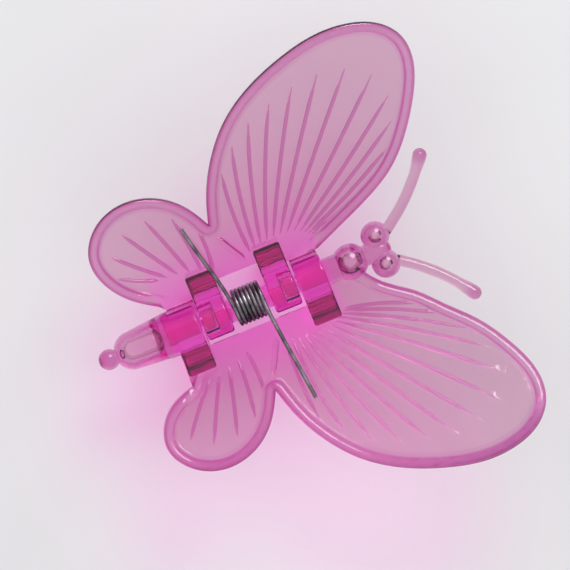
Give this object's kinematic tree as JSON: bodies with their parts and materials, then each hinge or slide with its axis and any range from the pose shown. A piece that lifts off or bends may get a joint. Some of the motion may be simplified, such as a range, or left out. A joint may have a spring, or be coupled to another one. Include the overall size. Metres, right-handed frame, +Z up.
{
  "type": "orchid clip",
  "caption": "Butterfly-shaped spring clip of clear pink plastic that holds a flower stem to its stake; the wings press together to open the claws.",
  "frame": {"origin": "middle of the gripped stem, halfway along the hinge", "axes": "+Y along the stem towards the butterfly's head, +X towards the end of its right wing, +Z up through the hinge"},
  "size_m": [0.0404, 0.0359, 0.0166],
  "materials": {
    "pink_plastic": "clear moulded plastic tinted pink, deeper where it is thick, glossy",
    "spring_steel": "dark drawn spring wire"
  },
  "bodies": {
    "right": {"right_half": "pink_plastic", "torsion_spring": "spring_steel"},
    "left": {"left_half": "pink_plastic"}
  },
  "joints": [
    {"name": "wing_hinge", "type": "hinge", "parent": "right", "child": "left", "pos_m": [0, 0, 0.0053], "axis": [0, 1, 0], "range_deg": [0, 120], "stiffness_Nm_per_rad": 0.0065, "springref_deg": -68.75, "deforming": ["torsion_spring"]}
  ]
}
